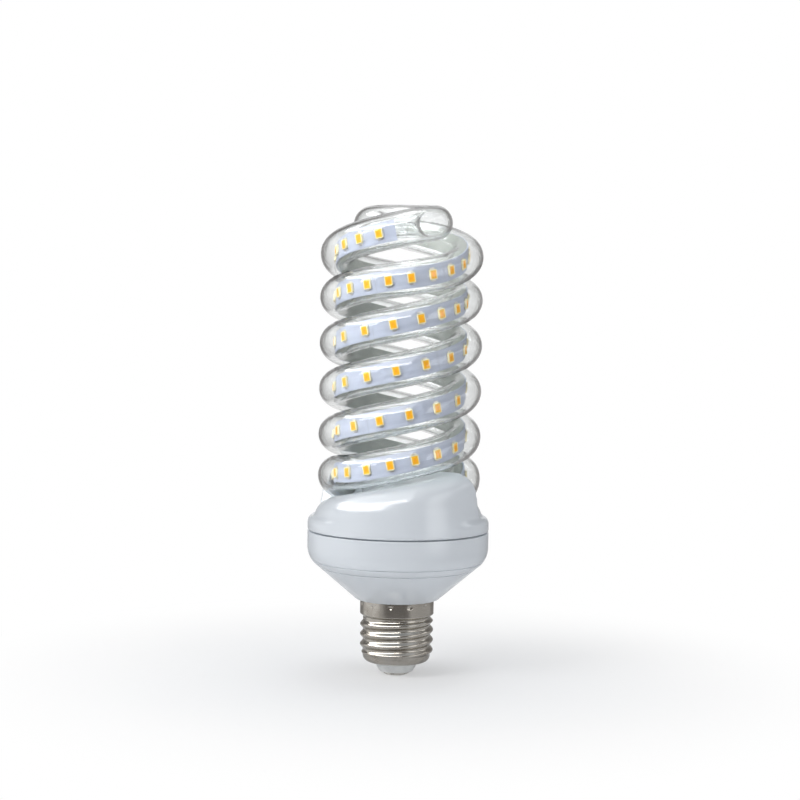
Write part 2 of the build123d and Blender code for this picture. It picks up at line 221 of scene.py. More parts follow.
def lathed(radius, height, turn):  # rings of points round the axis
    return np.stack([radius * np.cos(turn), radius * np.sin(turn), height + 0 * turn], axis=2)


def unit(vectors):
    return vectors / np.linalg.norm(vectors, axis=-1, keepdims=True)


def eased(share):  # from 0 to 1 with a soft start and end
    return share * share * (3 - 2 * share)


# Glass spiral: two legs and an S over the axis, as one drawn tube
glass = {
    "turns": 3,
    "lead": 32.6 * mm,
    "tube": 12.5 * mm,
    "wall": 0.9 * mm,
    "endAngle": -15,
    "lift": 1.6 * mm,
    "liftAngle": 100,
    "liftSpread": 26,
    "dip": 2.0 * mm,
    "dipAngle": 940,
    "dipSpread": 55,
    "stepAngle": 3,
    "bendSteps": 40,
    "sides": 40,
    "sharp": 60,
    "ripple": 0.07 * mm,  # uneven wall of drawn glass
    "rippleMiddle": 0.5,
    "rippleSwing": 0.3,
    "rippleWaves": ((1.0, 2, 0.13, 0.0), (0.6, 3, -0.071, 1.3)),  # size, lobes, twist, start
    "colour": (0.975, 0.985, 0.985, 1),
    "shadowTint": (0.93, 0.95, 0.95, 1),
    "ior": 1.47,
    "waveScale": 90,
    "fineWaveScale": 420,
    "fineWave": 0.4,
    "waveBump": (0.10, 0.6 * mm),
    "filmScale": 55,
    "filmRange": (0.52, 0.75),
    "filmRoughness": 0.012,
}
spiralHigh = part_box("spiral_tube")[1]
tubeRadius = glass["tube"] / 2
helixRadius = spiralHigh.x - tubeRadius
topAngle = 360 * glass["turns"]
bendRise = glass["lead"] / 4
frontHeight = spiralHigh.z - tubeRadius - bendRise / 3 - glass["lead"] * glass["turns"]


def legHeight(angle):
    lift = glass["lift"] * np.exp(-(((angle - glass["liftAngle"]) / glass["liftSpread"]) ** 2))
    dip = glass["dip"] * np.exp(-(((angle - glass["dipAngle"]) / glass["dipSpread"]) ** 2))
    return frontHeight + glass["lead"] * angle / 360 + lift - dip


def legPoints(angles, radius):  # angles count from the front, towards the right
    turn = np.radians(angles)
    return np.stack([radius * np.sin(turn), -radius * np.cos(turn), legHeight(angles)], axis=1)


def halfTurn(points):
    return points * np.array([-1, -1, 1])


def spiralLine():
    steps = round((topAngle - glass["endAngle"]) / glass["stepAngle"])
    leg = legPoints(np.linspace(glass["endAngle"], topAngle, steps + 1), helixRadius)
    share = np.linspace(0, 1, glass["bendSteps"] + 1)[1:]
    half = helixRadius / 2
    height = legHeight(topAngle) + bendRise * (share - share**2 + share**3 / 3)
    turn = np.pi * share
    bend = np.stack([half * np.sin(turn), -half - half * np.cos(turn), height], axis=1)
    front = np.concatenate([leg, bend])
    return np.concatenate([front, halfTurn(front[:-1])[::-1]])


def carriedNormals(tangents, first):  # normals that turn no more than the line does
    normals = [first]
    for tangent in tangents:
        normal = normals[-1] - tangent * np.dot(normals[-1], tangent)
        normals.append(normal / np.linalg.norm(normal))
    return np.array(normals[1:])


def paintGlass(w):
    place = objectPlace(w)
    wave = place.noise(glass["waveScale"]) + glass["fineWave"] * place.noise(glass["fineWaveScale"])
    film = place.noise(glass["filmScale"], 4).smooth(*glass["filmRange"])
    clear = principled(
        w,
        colour=glass["colour"],
        roughness=glass["filmRoughness"] * film,
        ior=glass["ior"],
        transmission=1.0,
        normal=wave.bump(*glass["waveBump"]),
    )
    shade = w.node("ShaderNodeBsdfTransparent", {}, {"Color": glass["shadowTint"]})
    return mixed(w, w.node("ShaderNodeLightPath", out="Is Shadow Ray"), clear, shade)


def makeSpiral():
    line = spiralLine()
    tangents = unit(np.gradient(line, axis=0))
    normals = carriedNormals(tangents, unit(line[0] * np.array([1, 1, 0])))
    sides = np.cross(tangents, normals)
    turn = circleTurns(glass["sides"])
    ahead = np.cos(turn)[None, :, None] * normals[:, None]
    outwards = ahead + np.sin(turn)[None, :, None] * sides[:, None]
    run = np.arange(len(line))[:, None]
    uneven = 0
    for size, lobes, twist, start in glass["rippleWaves"]:
        uneven = uneven + size * np.sin(lobes * turn[None] + twist * run + start)
    ripple = glass["ripple"] * (glass["rippleMiddle"] + glass["rippleSwing"] * uneven)
    bore = tubeRadius - glass["wall"] - ripple
    outer = line[:, None] + tubeRadius * outwards
    inner = line[:, None] + bore[:, :, None] * outwards
    rings = np.concatenate([outer, inner[::-1]])
    points = rings.reshape(-1, 3)
    faces = wrapFaces(len(rings), glass["sides"])
    finish = makeFinish("clearGlass", paintGlass)
    addPiece("glassSpiral", points, faces, finish, "clear_glass", ["spiral_tube"], glass["sharp"])


makeSpiral()
print("glass spiral made")

# Light strips: a flexible film in each leg, with rows of chips on its outer face
strip = {
    "width": 7.2 * mm,
    "thick": 0.5 * mm,
    "radius": helixRadius + 0.2 * mm,
    "inset": 5.35 * mm,  # from the end of the glass, past its seal
    "topGap": 6,
    "stepAngle": 3,
    "across": 8,
    # the film's own pale tones, with a bluish cast on film, trace and mark that is painted reflection
    # of blue surroundings
    "colour": (0.43, 0.465, 0.58, 1),
    "trace": (0.49, 0.53, 0.64, 1),
    "mark": (0.36, 0.38, 0.46, 1),
    # the rear face is painted darker and greyer than the white film: painted shade
    "back": (0.46, 0.47, 0.44, 1),
    "backShift": 1.0,  # how far the rear face lies off in the film's own measure
    "backRange": (0.4, 0.6),
    "rail": (2.75 * mm, 0.35 * mm, 0.1 * mm),  # traces: middle, half width and soft edge
    "centreTrace": (0, 0.9 * mm, 0.15 * mm),
    "cutSpacing": 25 * mm,
    "traceBreak": (0.5, 0.03, 0.01),  # shares of the spacing
    "cutLine": (0.5, 0.006, 0.004),
    "grainScale": 900,
    "traceTone": 0.45,
    "grainTone": 0.2,
    "cutTone": 0.5,
    "roughness": 0.42,
    "traceGloss": 0.08,
    "grain": 0.1,
    "bump": (0.4, 0.04 * mm),
}
chip = {
    "length": 2.8 * mm,
    "width": 3.5 * mm,
    "height": 0.75 * mm,
    "rim": 0.35 * mm,
    "pocket": 0.3 * mm,
    "corner": 0.3 * mm,
    "innerCorner": 0.7,  # share of the corner
    "bevel": 0.12 * mm,
    "seat": 0.08 * mm,
    "fill": 0.72,  # share of the pocket
    "dome": 0.1 * mm,
    "domeRings": (1.0, 0.8, 0.55, 0.25),
    "cornerSteps": 4,
    "firstAngles": (20, 366.5, 662, 845),  # counted down from the top of a leg
    "stepAngles": (19, 25.3, 25, 20.8),
    "counts": (18, 11, 7, 9),
    "frameTones": ((0.88, 0.76, 0.42, 1), (0.92, 0.85, 0.60, 1)),
    "frameScale": 700,
    "frameRoughness": (0.4, 0.15),
    "frameBump": (0.1, 0.05 * mm),
    "phosphorTones": ((0.92, 0.27, 0.003, 1), (0.95, 0.54, 0.02, 1)),
    "phosphorScale": 6000,
    "phosphorSpread": 0.75,
    "phosphorGrain": 0.35,
    "phosphorRoughness": (0.5, 0.2),
    "phosphorGloss": 0.25,
}
pad = {
    "length": 1.9 * mm,
    "width": 0.9 * mm,
    "height": 0.22 * mm,
    "corner": 0.3,  # share of the width
    "offset": 0.25,  # share of the width
    "side": 0.4,  # share of the height at which the bead starts to narrow
    "top": 0.6,  # share of the outline that is left at the top
    "tones": ((0.62, 0.60, 0.57, 1), (0.80, 0.79, 0.77, 1)),
    "scale": 1500,
    "roughness": (0.25, 0.2),
}


def stripFrames(angles, radius):  # place, along, outwards and upwards at each angle
    place = legPoints(angles, radius)
    along = unit(legPoints(angles + 1, radius) - legPoints(angles - 1, radius))
    outwards = unit(place * np.array([1, 1, 0]))
    return place, along, outwards, np.cross(outwards, along)


def paintStrip(w):
    uv = splitPlace(w, "UV")
    along = uv / strip["cutSpacing"]
    across = uv.other("Y")
    repeat = along.maths("FRACT", along)
    centre = across.band(*strip["centreTrace"]) * (1 - repeat.band(*strip["traceBreak"]))
    trace = abs(across).band(*strip["rail"]).biggest(centre)
    cut = repeat.band(*strip["cutLine"])
    # the rear face takes the darker back colour, which is painted shade
    rear = across.smooth(*strip["backRange"])
    grain = objectPlace(w).noise(strip["grainScale"], 3)
    tone = strip["traceTone"] * trace + strip["grainTone"] * grain
    # film, trace and mark colours carry the painted bluish reflection
    film = tone.colours(strip["colour"], strip["trace"])
    colour = (strip["cutTone"] * cut).colours(film, strip["mark"])
    return principled(
        w,
        colour=rear.colours(colour, strip["back"]),
        roughness=strip["roughness"] - strip["traceGloss"] * trace + strip["grain"] * grain,
        normal=(trace + strip["grain"] * grain).bump(*strip["bump"]),
    )


def makeStrip(side, turned, finish):
    first = glass["endAngle"] + math.degrees(strip["inset"] / helixRadius)
    last = topAngle - strip["topGap"]
    steps = round((last - first) / strip["stepAngle"])
    angles = np.linspace(first, last, steps + 1)
    place, _, outwards, upwards = stripFrames(angles, strip["radius"])
    half = strip["width"] / 2
    across = np.linspace(-half, half, strip["across"] + 1)
    front = [(strip["thick"] / 2, v) for v in across]
    section = front + [(-strip["thick"] / 2, v) for v in across[::-1]]
    grid = np.array([place + depth * outwards + v * upwards for depth, v in section])
    points = grid.swapaxes(0, 1).reshape(-1, 3)
    points = halfTurn(points) if turned else points
    columns = len(section)
    faces = tubeFaces(len(place), columns)
    replaced = [f"led_strip_{side.lower()}"]
    piece = addPiece(f"lightStrip{side}", points, faces, finish, "strip_film", replaced)
    run = np.concatenate([[0], np.cumsum(np.linalg.norm(np.diff(place, axis=0), axis=1))])
    layer = piece.data.uv_layers.new(name="run")
    for face in piece.data.polygons:
        corners = [piece.data.loops[n].vertex_index for n in face.loop_indices]
        # rear faces are moved off in the UV so that they take the painted shade colour
        rear = all(corner % columns >= len(front) for corner in corners)
        for n, corner in zip(face.loop_indices, corners):
            row, column = divmod(corner, columns)
            layer.data[n].uv = (run[row], section[column][1] + rear * strip["backShift"])


def roundedLoop(length, width, corner):  # a rectangle with rounded corners
    points = []
    steps = chip["cornerSteps"]
    for quarter, (sx, sy) in enumerate(((1, 1), (-1, 1), (-1, -1), (1, -1))):
        for step in range(steps + 1):
            turn = math.pi / 2 * (quarter + step / steps)
            x = sx * (length / 2 - corner) + corner * math.cos(turn)
            y = sy * (width / 2 - corner) + corner * math.sin(turn)
            points.append((x, y))
    return points


def chipAngles():
    rows = zip(chip["firstAngles"], chip["stepAngles"], chip["counts"])
    return np.array([topAngle - first - step * n for first, step, count in rows for n in range(count)])


def stackedLoops(loops):  # a closed solid from loops given with their heights
    points = [(x, y, height) for loop, height in loops for x, y in loop]
    return np.array(points), tubeFaces(len(loops), len(loops[0][0]))


def pocketSize():
    inside = 2 * chip["rim"]
    return chip["length"] - inside, chip["width"] - inside, chip["corner"] * chip["innerCorner"]


def frameSolid():
    length, width, corner, bevel = chip["length"], chip["width"], chip["corner"], chip["bevel"]
    inner = pocketSize()
    top = chip["height"]
    outerLoop = roundedLoop(length, width, corner)
    lip = roundedLoop(length - bevel, width - bevel, corner)
    mouth = roundedLoop(inner[0] + bevel, inner[1] + bevel, inner[2])
    floorLoop = roundedLoop(*inner)
    outside = [(outerLoop, 0), (outerLoop, top - bevel), (lip, top)]
    return stackedLoops(outside + [(mouth, top), (floorLoop, top - chip["pocket"])])


def phosphorSolid():
    length, width, corner = pocketSize()
    low = chip["height"] - chip["pocket"]
    loops = [(roundedLoop(length, width, corner), low)]
    for share in chip["domeRings"]:
        rise = chip["pocket"] * chip["fill"] + chip["dome"] * (1 - share**2)
        loops.append((roundedLoop(length * share, width * share, corner * share), low + rise))
    return stackedLoops(loops)


def padSolid():
    length, width, height = pad["length"], pad["width"], pad["height"]
    points = []
    faces = []
    for side in (-1, 1):
        offset = side * (chip["width"] / 2 + width * pad["offset"])
        loops = []
        for share, level in ((1.0, -chip["seat"]), (1.0, pad["side"] * height), (pad["top"], height)):
            loop = roundedLoop(length * share, width * share, width * pad["corner"] * share)
            loops.append(([(x, y + offset) for x, y in loop], level))
        addSolid(points, faces, *stackedLoops(loops))
    return np.array(points), faces


def onChips(solid, solidFaces, turned):  # copies of a solid, one on each chip's place
    radius = strip["radius"] + strip["thick"] / 2 + chip["seat"]
    points = []
    faces = []
    for place, along, outwards, upwards in zip(*stripFrames(chipAngles(), radius)):
        axes = np.stack([along, upwards, outwards])
        addSolid(points, faces, place + solid @ axes, solidFaces)
    points = np.array(points)
    return (halfTurn(points) if turned else points), faces


def paintChipFrame(w):
    cloud = objectPlace(w).noise(chip["frameScale"])
    rough, more = chip["frameRoughness"]
    return principled(
        w,
        colour=cloud.colours(*chip["frameTones"]),
        roughness=rough + more * cloud,
        normal=cloud.bump(*chip["frameBump"]),
    )


def paintPhosphor(w):
    uv = splitPlace(w, "UV")
    spread = uv.biggest(uv.other("Y"))
    grain = objectPlace(w).noise(chip["phosphorScale"])
    tone = spread * chip["phosphorSpread"] + chip["phosphorGrain"] * grain
    rough, more = chip["phosphorRoughness"]
    return principled(
        w,
        colour=tone.colours(*chip["phosphorTones"]),
        roughness=rough + more * grain,
        specular=chip["phosphorGloss"],
    )


def paintSolder(w):
    cloud = objectPlace(w).noise(pad["scale"], 3)
    rough, more = pad["roughness"]
    colour = cloud.colours(*pad["tones"])
    return principled(w, colour=colour, metallic=1.0, roughness=rough + more * cloud)


def spreadUv(piece, solid):  # how far each point lies from its chip's middle, as a share
    layer = piece.data.uv_layers.new(name="spread")
    reach = np.abs(solid[:, :2]).max(axis=0)
    for loop in piece.data.loops:
        x, y, _ = solid[loop.vertex_index % len(solid)]
        layer.data[loop.index].uv = (abs(x) / reach[0], abs(y) / reach[1])


def makeStrips():
    stripFilm = makeFinish("stripFilm", paintStrip)
    chipFrame = makeFinish("chipFrame", paintChipFrame)
    phosphor = makeFinish("phosphor", paintPhosphor)
    solder = makeFinish("solder", paintSolder)
    for side, turned in (("Front", False), ("Rear", True)):
        makeStrip(side, turned, stripFilm)
        low = side.lower()
        frames = onChips(*frameSolid(), turned)
        addPiece(f"chipFrames{side}", *frames, chipFrame, "chip_frame", [f"led_frames_{low}"])
        drop, dropFaces = phosphorSolid()
        drops = onChips(drop, dropFaces, turned)
        made = addPiece(f"phosphor{side}", *drops, phosphor, "phosphor", [f"led_phosphor_{low}"])
        spreadUv(made, drop)
        addPiece(f"solderPads{side}", *onChips(*padSolid(), turned), solder, "contact_metal")


makeStrips()
print("light strips made,", len(chipAngles()), "chips each")

# Screw cap: one rolled sheet with a rounded thread and a crimped collar
cap = {
    "thread": 26.4 * mm,
    "pitch": 3.629 * mm,
    "depth": 1.05 * mm,
    "fade": 1.6 * mm,
    "runIn": 5.25 * mm,
    "wall": 0.45 * mm,
    "collarHeight": 5.1 * mm,
    "opening": 16.4 * mm,
    "corner": 2.4 * mm,
    "crimps": 12,
    "crimpSize": 0.75 * mm,
    "crimpDepth": 0.28 * mm,
    "crimpDrop": 1.5 * mm,
    "crimpTurn": math.radians(-9.5),
    "around": 192,
    "step": 0.14 * mm,
    "arcSteps": 12,
    "easeSteps": 10,
    "sharp": 50,
    "colour": (0.55, 0.525, 0.48, 1),
    "tarnish": (0.34, 0.305, 0.26, 1),
    "lineScales": (60, 60, 5200),  # fine lines round the sheet
    "lineTone": 0.25,
    "lineRoughness": 0.08,
    "lineBump": (0.06, 0.05 * mm),
    "smudgeScale": 160,
    "smudgeRange": (0.42, 0.72),
    "smudgeTone": 0.55,
    "smudgeRoughness": 0.14,
    "roughness": 0.11,
}


def capProfile():  # outside of the sheet, from the opening up to the collar's top
    low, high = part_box("screw_shell")
    corner = cap["corner"]
    rootRadius = cap["thread"] / 2 - cap["depth"]
    collarRadius = high.x
    step = collarRadius - rootRadius
    base = high.z - cap["collarHeight"]
    shoulder = base - step
    rollTop = low.z + corner
    points = [(cap["opening"] / 2, low.z)]
    for n in range(cap["arcSteps"] + 1):
        turn = math.pi / 2 * n / cap["arcSteps"]
        across = rootRadius - corner * (1 - math.sin(turn))
        points.append((across, rollTop - corner * math.cos(turn)))
    count = round((shoulder - rollTop) / cap["step"])
    points += [(rootRadius, rollTop + (shoulder - rollTop) * n / count) for n in range(1, count)]
    for n in range(cap["easeSteps"] + 1):
        share = n / cap["easeSteps"]
        points.append((rootRadius + step * eased(share), shoulder + (base - shoulder) * share))
    count = round(cap["collarHeight"] / cap["step"])
    points += [(collarRadius, base + cap["collarHeight"] * n / count) for n in range(1, count + 1)]
    return np.array(points), rollTop, shoulder


def makeCap():
    profile, rollTop, shoulder = capProfile()
    turn = circleTurns(cap["around"])[None, :]
    height = profile[:, 1:]
    phase = (height - rollTop + cap["runIn"]) / cap["pitch"] - turn / (2 * np.pi)
    wave = 0.5 + 0.5 * np.cos(2 * np.pi * phase)
    rise = np.clip((height - rollTop) / cap["fade"], 0, 1)
    rise = rise * np.clip((shoulder - height) / cap["fade"], 0, 1)
    radius = profile[:, :1] + cap["depth"] * eased(rise) * wave
    crimpHeight = profile[-1, 1] - cap["crimpDrop"]
    pitchAngle = 2 * np.pi / cap["crimps"]
    offAngle = (turn - cap["crimpTurn"] + pitchAngle / 2) % pitchAngle - pitchAngle / 2
    away = np.hypot(offAngle * profile[-1, 0], height - crimpHeight) / cap["crimpSize"]
    radius = radius - cap["crimpDepth"] * np.clip(1 - away**2, 0, 1)
    inside = np.repeat(profile[:, :1] - cap["wall"], cap["around"], axis=1)
    inside[0] = profile[0, 0]
    innerHeight = np.minimum(height + cap["wall"] * (height < rollTop), profile[-1, 1])
    outer = lathed(radius, height, turn)
    inner = lathed(inside, innerHeight, turn)
    rings = np.concatenate([outer, inner[::-1]])
    points = rings.reshape(-1, 3)
    faces = wrapFaces(len(rings), cap["around"])
    finish = makeFinish("capPlating", paintCap)
    addPiece("screwCap", points, faces, finish, "cap_plating", ["screw_shell"], cap["sharp"])


def paintCap(w):
    place = objectPlace(w)
    lines = place.stretch(cap["lineScales"]).noise(1, 3)
    smudge = place.noise(cap["smudgeScale"], 4, 0.6).smooth(*cap["smudgeRange"])
    tone = cap["smudgeTone"] * smudge + cap["lineTone"] * lines
    return principled(
        w,
        colour=tone.colours(cap["colour"], cap["tarnish"]),
        metallic=1.0,
        roughness=cap["roughness"] + cap["smudgeRoughness"] * smudge + cap["lineRoughness"] * lines,
        normal=lines.bump(*cap["lineBump"]),
    )


makeCap()
print("screw cap made")

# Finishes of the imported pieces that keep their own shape
mottling = {"range": (0.3, 0.7), "roughness": 0.14, "bump": (0.08, 0.1 * mm)}
plain = (  # two tones, roughness, metal, the scale of the mottle, and the nodes
    ((0.66, 0.64, 0.60, 1), (0.80, 0.78, 0.74, 1), 0.28, 1.0, 500, ["centre_contact"]),
    ((0.76, 0.77, 0.76, 1), (0.84, 0.85, 0.84, 1), 0.38, 0.0, 350, ["cap_insulator"]),
    (
        (0.80, 0.80, 0.78, 1), (0.88, 0.88, 0.86, 1), 0.5, 0.0, 400,
        ["tube_seal_front", "tube_seal_rear"],
    ),
    ((0.05, 0.22, 0.11, 1), (0.09, 0.30, 0.16, 1), 0.35, 0.0, 300, ["driver_board"]),
    (
        (0.015, 0.017, 0.03, 1), (0.03, 0.035, 0.06, 1), 0.3, 0.0, 300,
        ["input_capacitor", "output_capacitor"],
    ),
    ((0.42, 0.22, 0.03, 1), (0.52, 0.30, 0.05, 1), 0.3, 0.0, 300, ["film_capacitor"]),
    ((0.03, 0.03, 0.032, 1), (0.06, 0.06, 0.062, 1), 0.55, 0.0, 600, ["choke"]),
    (
        (0.01, 0.01, 0.012, 1), (0.03, 0.03, 0.032, 1), 0.5, 0.0, 900,
        ["bridge_rectifier", "driver_chip", "freewheel_diode"],
    ),
    ((0.12, 0.25, 0.23, 1), (0.18, 0.33, 0.30, 1), 0.4, 0.0, 500, ["fuse_resistor"]),
    (
        (0.70, 0.70, 0.68, 1), (0.80, 0.80, 0.78, 1), 0.4, 0.0, 500,
        ["strip_leads_front", "strip_leads_rear", "live_lead", "neutral_lead"],
    ),
)


def paintPlain(low, high, roughness, metal, scale):
    def paint(w):
        mottle = objectPlace(w).noise(scale, 3)
        return principled(
            w,
            colour=mottle.smooth(*mottling["range"]).colours(low, high),
            roughness=roughness + mottling["roughness"] * (mottle - 0.5),
            metallic=metal,
            normal=mottle.bump(*mottling["bump"]),
        )

    return paint


for *tones, names in plain:
    for node in names:
        wear(node, makeFinish(node + "_finish", paintPlain(*tones)))
print("finishes set")

# White plastic of the housing and the cover
plastic = {
    "colour": (0.73, 0.765, 0.80, 1),
    "shade": (0.69, 0.73, 0.77, 1),
    "flowScale": 45,
    "flowRoughness": 0.1,
    "roughness": 0.2,
    "gloss": 1.0,
    "peelScale": 1500,
    "peelBump": (0.05, 0.06 * mm),
}


def paintPlastic(w):
    place = objectPlace(w)
    flow = place.noise(plastic["flowScale"], 3)
    return principled(
        w,
        colour=flow.colours(plastic["shade"], plastic["colour"]),
        roughness=plastic["roughness"] + plastic["flowRoughness"] * (flow - 0.5),
        normal=place.noise(plastic["peelScale"]).bump(*plastic["peelBump"]),
        specular=plastic["gloss"],
    )


# Lower housing: spigot in the cap, cone with a stepped crease, rounded side, and ribs for the board
housing = {
    "wall": 1.8 * mm,
    "neck": 29.6 * mm,
    "neckEdge": 0.3 * mm,
    "fit": 0.6 * mm,  # the cap's sheet and the play in it
    "shoulderFit": 0.4,  # share of the fit
    "creaseInset": 3.7 * mm,
    "creaseDrop": 12.8 * mm,
    "sideDrop": 5.8 * mm,
    "lowerGroove": (0.8 * mm, 0.6 * mm, 0.9 * mm),  # below the crease, width, depth
    "upperGroove": (-2.9 * mm, 0.45 * mm, 0.5 * mm),
    "grooveShape": (  # across and inwards, as shares of half the width and of the depth
        (-1, 0), (-0.7, 0.25), (-0.6, 1), (0.6, 1), (0.7, 0.25), (1, 0),
    ),
    "seamGap": 0.2 * mm,  # half of the open joint to the cover
    "seamEdge": 0.2 * mm,
    "seamEdgeTurns": (0, 30, 60, 90),
    "ribs": 6,
    "ribWidth": 1.6 * mm,
    "ribInside": 26.8 * mm,
    "ribDrop": 5.4 * mm,
    "ribHeight": 7.0 * mm,
    "ribSteps": 10,
    "arcSteps": 40,
    "around": 240,
    "sharp": 38,
}
housingLow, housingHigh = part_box("lower_housing")
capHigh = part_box("screw_shell")[1]
rimRadius = min(housingHigh.x, housingHigh.y)
seamHeight = housingHigh.z
sideHeight = seamHeight - housing["sideDrop"]
sideReach = housing["creaseDrop"] - housing["sideDrop"]
sideRound = (housing["creaseInset"] ** 2 + sideReach**2) / (2 * housing["creaseInset"])
sideTurn = math.asin(sideReach / sideRound)


def sideArc(radius, turns):  # round the housing's side, from the upright wall down
    across = rimRadius - sideRound + radius * np.cos(turns)
    return np.stack([across, sideHeight - radius * np.sin(turns)], axis=1)


def cutGroove(middle, ahead, inwards, width, depth):  # points of a narrow groove across a line
    half = width / 2
    shape = housing["grooveShape"]
    return [middle + side * half * ahead + share * depth * inwards for side, share in shape]


def housingProfile():  # a closed line round the section, up the outside and down the inside
    neckRadius = housing["neck"] / 2
    innerNeck = capHigh.x - housing["fit"]
    collarStep = cap["depth"] + capHigh.x - cap["thread"] / 2
    spigot = innerNeck - collarStep
    standOff = housing["shoulderFit"] * housing["fit"]
    shoulder = capHigh.z - cap["collarHeight"] - collarStep + standOff
    crease = np.array([rimRadius - housing["creaseInset"], seamHeight - housing["creaseDrop"]])
    foot = np.array([neckRadius, capHigh.z])
    up = unit(crease - foot)
    out = np.array([up[1], -up[0]])
    edge = housing["neckEdge"]
    lower, upper = housing["lowerGroove"], housing["upperGroove"]
    outside = [
        (spigot, housingLow.z),
        (spigot, shoulder),
        (innerNeck, shoulder + collarStep),
        (innerNeck, capHigh.z),
        (neckRadius - edge, capHigh.z),
        foot + edge * up,
    ]
    outside += cutGroove(crease - lower[0] * up, up, -out, *lower[1:])
    turns = np.linspace(sideTurn, 0, housing["arcSteps"] + 1)
    turnHere = sideTurn + upper[0] / sideRound
    clear = upper[1] / sideRound
    outside += list(sideArc(sideRound, turns[turns > turnHere + clear]))
    ahead = np.array([math.sin(turnHere), math.cos(turnHere)])
    inwards = np.array([-math.cos(turnHere), math.sin(turnHere)])
    middle = sideArc(sideRound, np.array([turnHere]))[0]
    outside += cutGroove(middle, ahead, inwards, *upper[1:])
    outside += list(sideArc(sideRound, turns[turns < turnHere - clear]))
    top = seamHeight - housing["seamGap"]
    bevel = housing["seamEdge"]
    for turn in np.radians(housing["seamEdgeTurns"]):
        across = rimRadius - bevel * (1 - math.cos(turn))
        outside.append((across, top - bevel * (1 - math.sin(turn))))
    wall = housing["wall"]
    inside = [(rimRadius - wall, top)] + list(sideArc(sideRound - wall, turns[::-1]))
    coneInside = foot - wall * out
    slide = (coneInside[0] - (innerNeck - wall)) / up[0]
    inside += [coneInside - slide * up, (innerNeck - wall, shoulder + collarStep)]
    inside += [(spigot - wall, shoulder), (spigot - wall, housingLow.z)]
    return np.array([tuple(point) for point in outside + inside])


def housingRib(turn):  # an upright web from inside the wall, with its square end towards the axis
    top = seamHeight - housing["ribDrop"]
    bottom = top - housing["ribHeight"]
    middle = sideRound - housing["wall"] / 2
    turns = np.linspace(0, math.asin((sideHeight - bottom) / middle), housing["ribSteps"])
    outline = [(housing["ribInside"], top), (rimRadius - housing["wall"] / 2, top)]
    outline += [tuple(point) for point in sideArc(middle, turns)] + [(housing["ribInside"], bottom)]
    ahead = np.array([math.cos(turn), math.sin(turn), 0])
    aside = np.array([-ahead[1], ahead[0], 0]) * housing["ribWidth"] / 2
    points = [r * ahead + side * aside + (0, 0, z) for side in (-1, 1) for r, z in outline]
    count = len(outline)
    faces = [list(range(count)), list(range(count, 2 * count))]
    faces += [[n, (n + 1) % count, count + (n + 1) % count, count + n] for n in range(count)]
    return points, faces


def makeHousing(finish):
    profile = housingProfile()
    rings = lathed(profile[:, :1], profile[:, 1:], circleTurns(housing["around"])[None, :])
    points = list(rings.reshape(-1, 3))
    faces = wrapFaces(len(profile), housing["around"])
    for n in range(housing["ribs"]):
        addSolid(points, faces, *housingRib(2 * math.pi * n / housing["ribs"] + math.pi / 2))
    replaced = ["lower_housing"]
    addPiece("housingCone", points, faces, finish, "white_plastic", replaced, housing["sharp"])


# Upper cover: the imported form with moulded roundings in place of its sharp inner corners
cover = {
    "voxel": 0.5 * mm,
    "swell": 0.28 * mm,  # thickens the thin lips while the mesh is made anew
    "weld": 0.001 * mm,
    "rounds": 14,
    "shrink": 0.5,  # each round of smoothing shrinks the form and lets it grow again
    "grow": -0.52,
    "roundFrom": 2.75 * mm,  # the shoulder's rounding, above the joint
    "round": 2.85 * mm,
    "ledge": 2.35 * mm,  # how far the ramp's wall stands back from the rim
    "fillFrom": 1.6 * mm,  # heights above the joint between which the shoulder becomes a slope
    "fillTo": 11.5 * mm,
    "skirtTop": 4.3 * mm,
    "skirtInside": 31.0 * mm,  # radii beyond which the skirt and the wall are on the outside
    "wallInside": 29.6 * mm,
    "fillRounds": 14,
    "fillShare": 0.5,
    "softFrom": 0.93,  # how far to the side, as a share, the shoulder keeps its corner
    "softTo": 0.55,
    "jointInside": 30.9 * mm,
    "jointReach": 1.2 * mm,
    "sharp": 70,
}


def remeshed(source):
    shape = bpy.data.objects.new("remeshing", source.data.copy())
    bpy.context.scene.collection.objects.link(shape)
    shape.modifiers.new("weld", "WELD").merge_threshold = cover["weld"]
    thicker = shape.modifiers.new("swell", "DISPLACE")
    thicker.mid_level = 0
    thicker.strength = cover["swell"]
    even = shape.modifiers.new("remesh", "REMESH")
    even.mode = "VOXEL"
    even.voxel_size = cover["voxel"]
    bpy.context.view_layer.update()
    made = shape.evaluated_get(bpy.context.evaluated_depsgraph_get())
    mesh = bpy.data.meshes.new_from_object(made)
    bpy.data.objects.remove(shape)
    points = np.array([vertex.co for vertex in mesh.vertices])
    edges = np.array([edge.vertices for edge in mesh.edges])
    return points, edges, [list(face.vertices) for face in mesh.polygons]


def smoothed(points, edges, share):  # each point moves towards the middle of its neighbours
    total = np.zeros_like(points)
    count = np.zeros(len(points))
    for here, there in ((0, 1), (1, 0)):
        np.add.at(total, edges[:, here], points[edges[:, there]])
        np.add.at(count, edges[:, here], 1)
    return points + share[:, None] * (total / count[:, None] - points)


def outwardNormals(points, faces):
    corners = points[np.array(faces)]
    across = np.cross(corners[:, 2] - corners[:, 0], corners[:, 3] - corners[:, 1])
    total = np.zeros_like(points)
    for column in np.array(faces).T:
        np.add.at(total, column, across)
    return unit(total)


